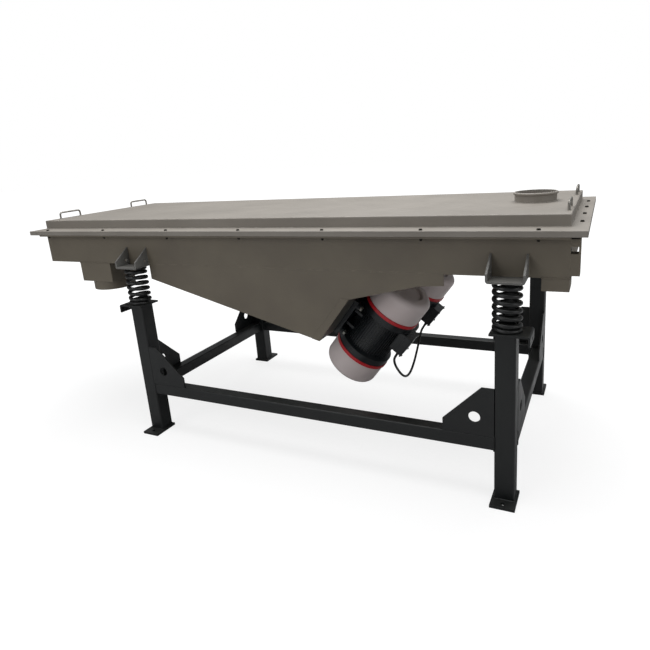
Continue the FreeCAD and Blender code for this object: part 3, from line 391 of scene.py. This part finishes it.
def new_rule(name, **sizes):
    """A geometry-node tree that takes a mesh, named sizes and a finish."""
    tree = bpy.data.node_groups.new(name, "GeometryNodeTree")
    tree.interface.new_socket("Seed mesh", in_out="INPUT",
                              socket_type="NodeSocketGeometry")
    for size, value in sizes.items():
        kind = "NodeSocketInt" if isinstance(value, int) else "NodeSocketFloat"
        tree.interface.new_socket(size, in_out="INPUT", socket_type=kind).default_value = value
    tree.interface.new_socket("Finish", in_out="INPUT", socket_type="NodeSocketMaterial")
    tree.interface.new_socket("Piece", in_out="OUTPUT", socket_type="NodeSocketGeometry")
    return tree, add(tree, "NodeGroupInput").outputs


def close_rule(tree, given, shape, smooth=False):
    """Ends a tree: real geometry, its shading and its finish."""
    real = add(tree, "GeometryNodeRealizeInstances", {0: shape}).outputs[0]
    shaded = add(tree, "GeometryNodeSetShadeSmooth", {
        "Geometry": real, "Shade Smooth": smooth}).outputs[0]
    painted = add(tree, "GeometryNodeSetMaterial", {
        "Geometry": shaded, "Material": given["Finish"]}).outputs[0]
    add(tree, "NodeGroupOutput", {0: painted})


def math_of(tree, operation, first, second=0.0):
    return add(tree, "ShaderNodeMath", {0: first, 1: second}, operation=operation).outputs[0]


def point_of(tree, x=0.0, y=0.0, z=0.0):
    return add(tree, "ShaderNodeCombineXYZ", {0: x, 1: y, 2: z}).outputs[0]


def moved(tree, shape, **move):
    return add(tree, "GeometryNodeTransform", {
        "Geometry": shape, **{key.replace("_", " ").title(): value
                              for key, value in move.items()}}).outputs[0]


def joined(tree, *shapes):
    node = add(tree, "GeometryNodeJoinGeometry")
    for shape in shapes:
        tree.links.new(shape, node.inputs[0])
    return node.outputs[0]


def at_places(tree, given, shape):
    """The shape at every seed point, its Z turned to the point's facing attribute."""
    facing = add(tree, "GeometryNodeInputNamedAttribute", {"Name": "facing"},
                 data_type="FLOAT_VECTOR").outputs["Attribute"]
    turn = add(tree, "FunctionNodeAlignRotationToVector", {"Vector": facing},
               axis="Z").outputs[0]
    points = add(tree, "GeometryNodeMeshToPoints", {"Mesh": given["Seed mesh"]}).outputs[0]
    return add(tree, "GeometryNodeInstanceOnPoints", {
        "Points": points, "Instance": shape, "Rotation": turn}).outputs[0]


def drum(tree, sides, radius, depth, low=0.0):
    """A closed prism or cylinder that starts at a height and rises by depth."""
    solid = add(tree, "GeometryNodeMeshCylinder", {
        "Vertices": sides, "Radius": radius, "Depth": depth}, fill_type="NGON").outputs["Mesh"]
    middle = math_of(tree, "ADD", low, math_of(tree, "MULTIPLY", depth, 0.5))
    return moved(tree, solid, translation=point_of(tree, z=middle))


def crown(tree, radius, depth, low):
    """The chamfered top of a hexagon head."""
    cone = add(tree, "GeometryNodeMeshCone", {
        "Vertices": 6, "Radius Bottom": radius,
        "Radius Top": math_of(tree, "MULTIPLY", radius, 0.86), "Depth": depth},
        fill_type="NGON").outputs["Mesh"]
    return moved(tree, cone, translation=point_of(tree, z=low))


def hexagon_bolt_rule():
    """Washer, chamfered hexagon head above the seat and a shank below it."""
    tree, given = new_rule("hexagon_bolt", Corner=0.0092, Head=0.0064, Washer=0.010,
                           Plate=0.002, Shank=0.005, Reach=0.03)
    washer = drum(tree, 20, given["Washer"], given["Plate"])
    straight = math_of(tree, "MULTIPLY", given["Head"], 0.8)
    head = drum(tree, 6, given["Corner"], straight, given["Plate"])
    top = crown(tree, given["Corner"], math_of(tree, "MULTIPLY", given["Head"], 0.2),
                math_of(tree, "ADD", straight, given["Plate"]))
    shank = drum(tree, 12, given["Shank"], given["Reach"],
                 math_of(tree, "MULTIPLY", given["Reach"], -1.0))
    close_rule(tree, given, at_places(tree, given, joined(tree, washer, head, top, shank)))
    return tree


def nut_rule():
    """Hexagon nut with an open bore, hanging under its seat."""
    tree, given = new_rule("open_nut", Corner=0.0092, Bore=0.0054, Height=0.008)
    rim = add(tree, "GeometryNodeCurvePrimitiveCircle", {
        "Resolution": 6, "Radius": given["Corner"]}).outputs["Curve"]
    hole = add(tree, "GeometryNodeCurvePrimitiveCircle", {
        "Resolution": 16, "Radius": given["Bore"]}).outputs["Curve"]
    face = add(tree, "GeometryNodeFillCurve", {0: joined(tree, rim, hole)}).outputs[0]
    low = moved(tree, face, translation=point_of(
        tree, z=math_of(tree, "MULTIPLY", given["Height"], -1.0)))
    raised = add(tree, "GeometryNodeExtrudeMesh", {
        "Mesh": low, "Offset": point_of(tree, z=1.0), "Offset Scale": given["Height"],
        "Individual": False}).outputs["Mesh"]
    under = add(tree, "GeometryNodeFlipFaces", {"Mesh": low}).outputs[0]
    close_rule(tree, given, at_places(tree, given, joined(tree, raised, under)))
    return tree


def weld_rule():
    """Rippled weld bead along every line of the seed mesh."""
    tree, given = new_rule("weld_bead", Bead=0.004, Ripple=0.008, Unevenness=0.35, Seed=3)
    line = add(tree, "GeometryNodeMeshToCurve", {"Mesh": given["Seed mesh"]}).outputs[0]
    step = math_of(tree, "DIVIDE", given["Ripple"], 2.0)
    dense = add(tree, "GeometryNodeResampleCurve", {
        "Curve": line, "Length": step}, mode="LENGTH").outputs[0]
    index = add(tree, "GeometryNodeInputIndex").outputs[0]
    swell = math_of(tree, "MULTIPLY", math_of(tree, "MODULO", index, 2.0), 0.22)
    noise = add(tree, "FunctionNodeRandomValue", {
        "Min": 0.0, "Max": given["Unevenness"], "ID": index, "Seed": given["Seed"]},
        data_type="FLOAT").outputs["Value"]
    thickness = math_of(tree, "ADD", math_of(tree, "ADD", swell, noise), 0.65)
    uneven = add(tree, "GeometryNodeSetCurveRadius", {
        "Curve": dense, "Radius": thickness}).outputs[0]
    ring = add(tree, "GeometryNodeCurvePrimitiveCircle", {
        "Resolution": 6, "Radius": given["Bead"]}).outputs["Curve"]
    bead = add(tree, "GeometryNodeCurveToMesh", {
        "Curve": uneven, "Profile Curve": ring, "Fill Caps": True}).outputs[0]
    close_rule(tree, given, bead, smooth=True)
    return tree


def coil_rule():
    """Coil spring on its seat: a closed turn at each end, open turns between, ends ground."""
    tree, given = new_rule("coil_spring", Wire=0.009, Middle=0.048, Rise=0.193, Land=0.004,
                           Closed=0.0186, Pitch=0.029)
    ends = math_of(tree, "MULTIPLY", math_of(tree, "ADD", given["Land"], given["Closed"]), 2.0)
    active = math_of(tree, "DIVIDE", math_of(tree, "SUBTRACT", given["Rise"], ends),
                     given["Pitch"])
    turns = math_of(tree, "ADD", active, 2.0)
    path = add(tree, "GeometryNodeCurveSpiral", {
        "Resolution": 40, "Rotations": turns, "Start Radius": given["Middle"],
        "End Radius": given["Middle"], "Height": 0.0}).outputs[0]
    share = add(tree, "GeometryNodeSplineParameter").outputs["Factor"]
    turn = math_of(tree, "MULTIPLY", share, turns)
    after_first = math_of(tree, "SUBTRACT", turn, 1.0)
    open_turns = math_of(tree, "MINIMUM", math_of(tree, "MAXIMUM", after_first, 0.0), active)
    closed_turns = math_of(tree, "SUBTRACT", turn, open_turns)
    height = math_of(tree, "ADD", given["Land"], math_of(
        tree, "ADD", math_of(tree, "MULTIPLY", open_turns, given["Pitch"]),
        math_of(tree, "MULTIPLY", closed_turns, given["Closed"])))
    lifted = add(tree, "GeometryNodeSetPosition", {
        "Geometry": path, "Offset": point_of(tree, z=height)}).outputs[0]
    ring = add(tree, "GeometryNodeCurvePrimitiveCircle", {
        "Resolution": 14, "Radius": given["Wire"]}).outputs["Curve"]
    coil = add(tree, "GeometryNodeCurveToMesh", {
        "Curve": lifted, "Profile Curve": ring, "Fill Caps": True}).outputs[0]
    spot = add(tree, "ShaderNodeSeparateXYZ", {
        0: add(tree, "GeometryNodeInputPosition").outputs[0]}).outputs
    ground = math_of(tree, "MINIMUM", math_of(tree, "MAXIMUM", spot["Z"], 0.0), given["Rise"])
    flat = add(tree, "GeometryNodeSetPosition", {
        "Geometry": coil, "Position": point_of(tree, spot["X"], spot["Y"], ground)}).outputs[0]
    close_rule(tree, given, at_places(tree, given, flat), smooth=True)
    return tree


def cloth_rule():
    """Square screen cloth: one layer of wires along X on a layer along Y."""
    tree, given = new_rule("screen_cloth", Opening=0.010, Wire=0.0008, Long=2.2, Wide=0.9)

    def layer(length, spread, along, low):
        """Parallel wires: each has the length, and they are spread across the other way."""
        wire = add(tree, "GeometryNodeMeshCylinder", {
            "Vertices": 5, "Radius": given["Wire"], "Depth": length}).outputs["Mesh"]
        turn = (0, math.pi / 2, 0) if along == "X" else (math.pi / 2, 0, 0)
        laid = moved(tree, wire, rotation=turn)
        count = add(tree, "FunctionNodeFloatToInt", {
            0: math_of(tree, "DIVIDE", spread, given["Opening"])}, rounding_mode="FLOOR")
        start = math_of(tree, "MULTIPLY", spread, -0.5)
        first = point_of(tree, y=start, z=low) if along == "X" else point_of(
            tree, x=start, z=low)
        step = point_of(tree, y=given["Opening"]) if along == "X" else point_of(
            tree, x=given["Opening"])
        row = add(tree, "GeometryNodeMeshLine", {
            "Count": count.outputs[0], "Start Location": first, "Offset": step}).outputs[0]
        return add(tree, "GeometryNodeInstanceOnPoints", {
            "Points": row, "Instance": laid}).outputs[0]

    lower = layer(given["Wide"], given["Long"], "Y", given["Wire"])
    upper = layer(given["Long"], given["Wide"], "X", math_of(
        tree, "MULTIPLY", given["Wire"], 2.4))
    sheet = add(tree, "GeometryNodeRealizeInstances", {0: joined(tree, lower, upper)})
    close_rule(tree, given, at_places(tree, given, sheet.outputs[0]), smooth=True)
    return tree


def grow(name, rule, points, lines, material, body, slot, facing=None, **sizes):
    """Runs a rule on seed points or lines and keeps the result as a plain piece."""
    seed_mesh = bpy.data.meshes.new(name + "_seed")
    seed_mesh.from_pydata([tuple(point) for point in points], lines, [])
    directions = facing or [(0, 0, 1)] * len(points)
    way = seed_mesh.attributes.new("facing", "FLOAT_VECTOR", "POINT")
    way.data.foreach_set("vector", [share for one in directions for share in one])
    seed = new_piece(name + "_seed", seed_mesh)
    modifier = seed.modifiers.new("rule", "NODES")
    modifier.node_group = rule
    for socket in rule.interface.items_tree:
        if socket.in_out == "INPUT" and socket.name in sizes:
            modifier[socket.identifier] = sizes[socket.name]
        if socket.in_out == "INPUT" and socket.name == "Finish":
            modifier[socket.identifier] = material
    graph = bpy.context.evaluated_depsgraph_get()
    mesh = bpy.data.meshes.new_from_object(seed.evaluated_get(graph))
    bpy.data.objects.remove(seed)
    piece = new_piece(name, mesh)
    if body:
        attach(piece, body)
    return piece


# Coil springs: each stands between the stand under it and the box on top of it.
SEAT_THICKNESS = 0.008
coil_spring = coil_rule()
for corner in corners:
    bottom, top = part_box("spring_" + corner)
    bracket_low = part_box("spring_bracket_" + corner)[0]
    seat_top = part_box("leg_" + corner)[1].z + SEAT_THICKNESS
    base = Vector(((bottom.x + top.x) / 2, (bottom.y + top.y) / 2, seat_top))
    coil = grow("coil_" + corner, coil_spring, [base], [], spring_enamel, None,
                "spring_steel", Rise=bracket_low.z - seat_top)
    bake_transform(coil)
    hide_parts("spring_" + corner)

# Screen cloth on the deck frame's ribs.
cloth_low, cloth_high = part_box("deck_mesh")
cloth_size = cloth_high - cloth_low
CLOTH_MARGIN = 0.002
cloth = grow("woven_cloth", cloth_rule(), [((cloth_low.x + cloth_high.x) / 2, 0, cloth_low.z)],
             [], cloth_wire, screen_box, "mesh_steel", Long=cloth_size.x - CLOTH_MARGIN,
             Wide=cloth_size.y - CLOTH_MARGIN)
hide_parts("deck_mesh")

# Bolts round the cover and the nuts under the rim: their places repeat the drilled holes.
hexagon_bolt = hexagon_bolt_rule()
rim_low, rim_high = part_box("rim_bars")
SIDE_INSET, SIDE_FIRST, SIDE_STEP, SIDE_COUNT = 0.021, 0.153, 0.433, 7
END_INSET, END_STEP = 0.019, 0.217
# The cover's flange lies this far above the rim's top.
FLANGE_RISE = 0.022
bolt_spots = [(rim_high.x - SIDE_FIRST - SIDE_STEP * step, side * (rim_high.y - SIDE_INSET))
              for step in range(SIDE_COUNT) for side in (-1, 1)]
bolt_spots += [(end, END_STEP * place) for end in (rim_high.x - END_INSET,
                                                   rim_low.x + END_INSET)
               for place in (-1.5, -0.5, 0.5, 1.5)]
grow("cover_bolts", hexagon_bolt, [(x, y, rim_high.z + FLANGE_RISE) for x, y in bolt_spots], [], dark_zinc,
     cover, "zinc_steel", Corner=0.0070, Head=0.0046, Washer=0.0080, Plate=0.0015,
     Reach=0.042)
grow("rim_nuts", nut_rule(), [(x, y, rim_low.z) for x, y in bolt_spots], [], dark_zinc,
     screen_box, "zinc_steel", Corner=0.0080, Height=0.006)

# Screws of the two terminal boxes' lids. Each box faces down the slope of the motor beam.
SLOPE = math.radians(52)
OUT = Vector((math.sin(SLOPE), 0, -math.cos(SLOPE)))
UP_SLOPE = Vector((math.cos(SLOPE), 0, math.sin(SLOPE)))
BEAM_FOOT = Vector((0.343, 0, 0.598))
MOTOR_UP, MOTOR_OUT, MOTOR_ACROSS = 0.103, 0.146, 0.230
LID_FACE, LID_MIDDLE = 0.174, 0.038
LID_SCREW_ACROSS, LID_SCREW_UP = 0.047, 0.045
lid_screws = [
    BEAM_FOOT + OUT * (MOTOR_OUT + LID_FACE)
    + UP_SLOPE * (MOTOR_UP + LID_MIDDLE + end * LID_SCREW_UP)
    + Vector((0, row * MOTOR_ACROSS + side * LID_SCREW_ACROSS, 0))
    for row in (-1, 1) for side in (-1, 1) for end in (-1, 1)]
grow("lid_screws", hexagon_bolt, lid_screws, [], zinc_plate, screen_box, "zinc_steel",
     facing=[OUT] * len(lid_screws), Corner=0.0048, Head=0.0034, Washer=0.0052, Plate=0.0008,
     Shank=0.002, Reach=0.005)


def boot_rule():
    """Tapered rubber boot that rises from its seat along the facing direction."""
    tree, given = new_rule("gland_boot", Wide=0.0098, Narrow=0.0068, Length=0.014)
    cone = add(tree, "GeometryNodeMeshCone", {
        "Vertices": 24, "Radius Bottom": given["Wide"], "Radius Top": given["Narrow"],
        "Depth": given["Length"]}, fill_type="NGON").outputs["Mesh"]
    close_rule(tree, given, at_places(tree, given, cone))
    return tree


grow("gland_boots", boot_rule(), [cable_route[0], cable_route[-1]], [], gland_nylon,
     screen_box, "gland_plastic", facing=[-UP_SLOPE] * 2)


# ---------------------------------------------------------------- weld seams

weld_bead = weld_rule()


def level_loop(low, high, height):
    """The outline of a box at a height."""
    return [(low.x, low.y, height), (high.x, low.y, height), (high.x, high.y, height),
            (low.x, high.y, height)]


def cross_loop(low, high, x):
    """The outline of a box at a place along X."""
    return [(x, low.y, low.z), (x, high.y, low.z), (x, high.y, high.z), (x, low.y, high.z)]


def side_loop(low, high, y):
    """The outline of a box at a place along Y."""
    return [(low.x, y, low.z), (high.x, y, low.z), (high.x, y, high.z), (low.x, y, high.z)]


def round_loop(centre, radius, count):
    return [(centre[0] + radius * math.cos(2 * math.pi * step / count),
             centre[1] + radius * math.sin(2 * math.pi * step / count), centre[2])
            for step in range(count)]


def seams(name, loops, runs, material, body, slot, bead):
    """Weld beads round closed loops and along open runs, as one piece."""
    points, lines = [], []
    for chain, closed in [(loop, True) for loop in loops] + [(run, False) for run in runs]:
        first = len(points)
        points += chain
        lines += [(first + step, first + step + 1) for step in range(len(chain) - 1)]
        if closed:
            lines.append((len(points) - 1, first))
    grow(name, weld_bead, points, lines, material, body, slot, Bead=bead)


leg_boxes = [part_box("leg_" + corner) for corner in corners]
stand_loops = [level_loop(low, high, end.z) for low, high in leg_boxes for end in (low, high)]
for rail in ("rail_front", "rail_rear"):
    low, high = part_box(rail)
    stand_loops += [cross_loop(low, high, end.x) for end in (low, high)]
for rail in ("rail_right", "rail_left"):
    low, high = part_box(rail)
    stand_loops += [side_loop(low, high, end.y) for end in (low, high)]
seams("stand_weld_seams", stand_loops, [], stand_enamel, stand, "frame_paint", 0.0032)

wall_low, wall_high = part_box("trough")
box_loops = [level_loop(wall_low, wall_high, rim_low.z)]
for hanging in ("overs_chute", "fines_chute", "cleanout_pocket"):
    low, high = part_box(hanging)
    box_loops.append(level_loop(low, high, high.z))
bracket_runs = []
for corner in corners:
    low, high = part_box("spring_bracket_" + corner)
    wall = wall_low.y if low.y < 0 else wall_high.y
    bracket_runs += [[(x, wall, wall_low.z), (x, wall, high.z)] for x in (low.x, high.x)]
seams("box_weld_seams", box_loops, bracket_runs, box_enamel, screen_box, "box_paint", 0.003)

collar_low, collar_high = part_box("inlet_collar")
COLLAR_RADIUS = 0.088
seams("collar_weld_seam", [round_loop(
    ((collar_low.x + collar_high.x) / 2, 0, collar_low.z), COLLAR_RADIUS, 48)], [],
    cover_enamel, cover, "cover_paint", 0.0025)
HANDLE_POST, HANDLE_ACROSS, HANDLE_HALF = 0.005, 0.275, 0.069
handle_low, handle_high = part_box("cover_handles")
posts = [(x, row * HANDLE_ACROSS + side * HANDLE_HALF, handle_low.z)
         for x in (handle_low.x + HANDLE_POST, handle_high.x - HANDLE_POST)
         for row in (-1, 1) for side in (-1, 1)]
seams("handle_weld_seams", [round_loop(post, HANDLE_POST, 10) for post in posts], [],
      cover_enamel, cover, "cover_paint", 0.002)
